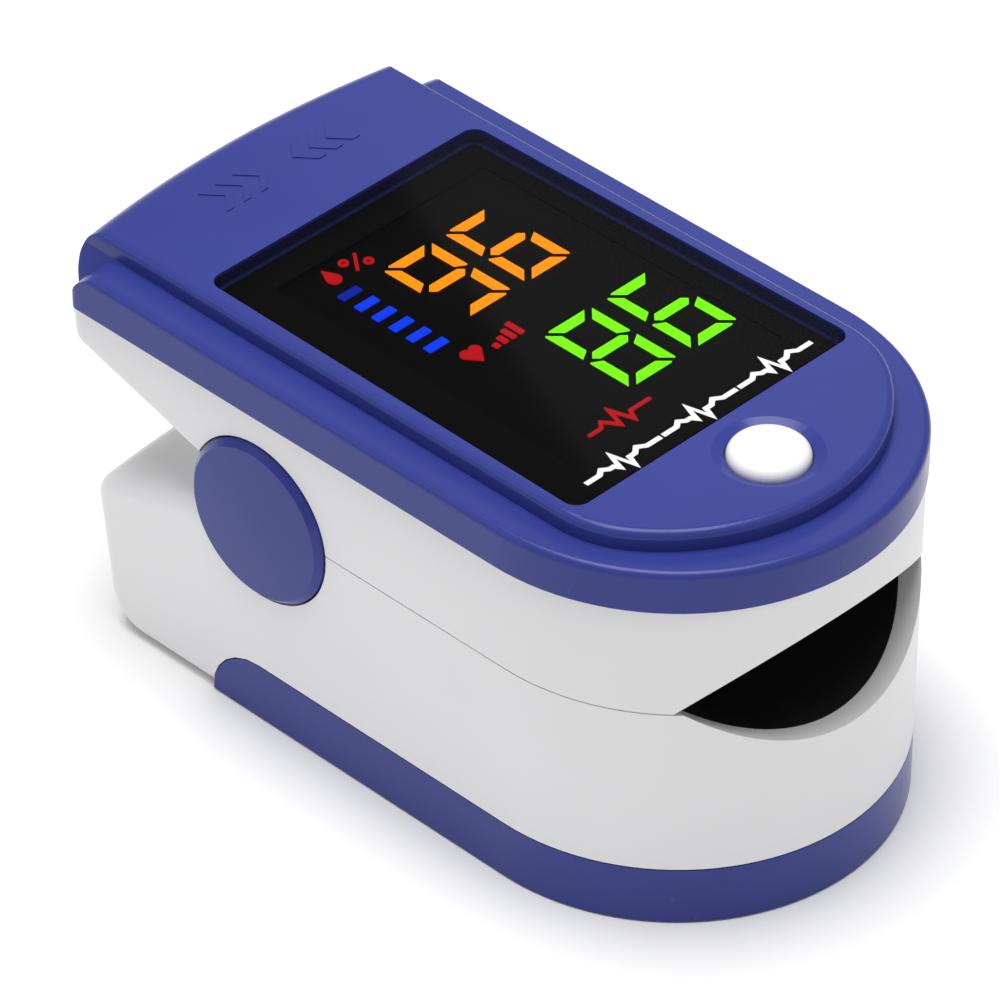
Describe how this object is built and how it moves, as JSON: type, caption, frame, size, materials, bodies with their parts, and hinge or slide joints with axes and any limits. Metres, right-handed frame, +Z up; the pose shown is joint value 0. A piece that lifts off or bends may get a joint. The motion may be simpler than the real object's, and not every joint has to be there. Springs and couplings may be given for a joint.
{
  "type": "fingertip pulse oximeter",
  "caption": "Spring-hinged fingertip clip with a lit display, a push button, padded finger cavity and a sliding battery cover.",
  "frame": {"origin": "centre of the bounding box in plan, on the flat resting face", "axes": "+Z up out of the display, -Y towards the rounded nose with the finger opening, +Y towards the squeeze end, +X along the hinge axle towards the right cap"},
  "size_m": [0.0338, 0.0594, 0.0314],
  "materials": {
    "white_shell": "satin",
    "blue_cover": "satin",
    "white_button": "satin",
    "dark_lens": "polished",
    "black_frame": "satin",
    "orange_light": "lit",
    "green_light": "lit",
    "blue_light": "lit",
    "red_light": "lit",
    "circuit_board": "satin",
    "black_package": "matte",
    "white_socket": "matte",
    "clear_window": "polished",
    "screw_steel": "plated",
    "spring_steel": "bright",
    "nickel_plate": "bright",
    "black_silicone": "matte",
    "grey_tray": "matte",
    "cell_jacket": "printed sleeve",
    "amber_film": "film"
  },
  "bodies": {
    "lower_half": {"lower_housing": "white_shell", "finger_tray": "grey_tray", "lower_pad": "black_silicone", "lower_window": "clear_window", "photodiode": "black_package", "sensor_board": "circuit_board", "battery_left": "cell_jacket", "battery_right": "cell_jacket", "contact_positive": "nickel_plate", "contact_negative": "nickel_plate", "contact_bridge": "nickel_plate", "hinge_axle": "spring_steel", "hinge_cap_left": "blue_cover", "hinge_cap_right": "blue_cover", "torsion_spring_left": "spring_steel", "torsion_spring_right": "spring_steel", "flex_cable": "amber_film"},
    "upper_half": {"upper_housing": "white_shell", "top_cover": "blue_cover", "display_lens": "dark_lens", "display_module": "black_frame", "spo2_digits": "orange_light", "pulse_digits": "green_light", "signal_bars": "blue_light", "status_symbols": "red_light", "main_pcb": "circuit_board", "microcontroller": "black_package", "boost_inductor": "black_package", "flex_socket": "white_socket", "emitter_led": "clear_window", "pcb_screws": "screw_steel", "tact_switch": "spring_steel", "upper_pad": "black_silicone", "upper_window": "clear_window"},
    "power_button": {"power_button": "white_button", "switch_plunger": "black_package"},
    "battery_door": {"battery_cover": "blue_cover"}
  },
  "joints": [
    {"name": "clip_hinge", "type": "hinge", "parent": "lower_half", "child": "upper_half", "pos_m": [0, 0.0095, 0.0173], "axis": [-1, 0, 0], "range_deg": [0, 25], "stiffness_Nm_per_rad": 0.06, "springref_deg": -20.05, "deforming": ["torsion_spring_left", "torsion_spring_right", "flex_cable"]},
    {"name": "button_press", "type": "slide", "parent": "upper_half", "child": "power_button", "axis": [0, 0, -1], "range_m": [0, 0.00035], "stiffness_N_per_m": 800, "springref_m": -0.0003},
    {"name": "battery_cover_slide", "type": "slide", "parent": "lower_half", "child": "battery_door", "axis": [0, -1, 0], "range_m": [0, 0.012]}
  ]
}
